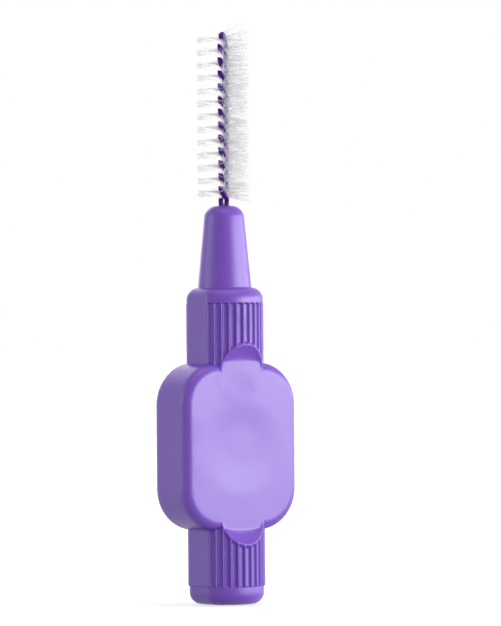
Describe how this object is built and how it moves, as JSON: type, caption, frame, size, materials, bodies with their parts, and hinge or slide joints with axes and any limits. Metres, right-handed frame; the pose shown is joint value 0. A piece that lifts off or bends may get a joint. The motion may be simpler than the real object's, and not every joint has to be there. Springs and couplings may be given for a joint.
{
  "type": "interdental brush",
  "caption": "Interdental brush: a flat grip pad between ribbed collars, a tapered nose, and a bendable twisted wire that carries a double spiral of nylon bristles.",
  "frame": {"origin": "centre of the flat end of the tail, on the axis of the handle and the wire", "axes": "+Z along the axis from the tail to the brush tip, +X across the grip pad, -Y out of the face turned to the thumb"},
  "size_m": [0.0138, 0.0078, 0.0572],
  "materials": {
    "handle_plastic": "satin moulded",
    "coated_wire": "plastic coated",
    "bristle_nylon": "clear drawn"
  },
  "bodies": {
    "handle": {"handle": "handle_plastic", "wire_root": "coated_wire"},
    "brush_head": {"wire_stem": "coated_wire", "bristle_row_01": "bristle_nylon", "bristle_row_02": "bristle_nylon", "bristle_row_03": "bristle_nylon", "bristle_row_04": "bristle_nylon", "bristle_row_05": "bristle_nylon", "bristle_row_06": "bristle_nylon", "bristle_row_07": "bristle_nylon", "bristle_row_08": "bristle_nylon", "bristle_row_09": "bristle_nylon", "bristle_row_10": "bristle_nylon", "bristle_row_11": "bristle_nylon", "bristle_row_12": "bristle_nylon", "bristle_row_13": "bristle_nylon"}
  },
  "joints": [
    {"name": "neck_bend", "type": "hinge", "parent": "handle", "child": "brush_head", "pos_m": [0, 0, 0.04008], "axis": [1, 0, 0], "range_deg": [-30, 30]}
  ]
}
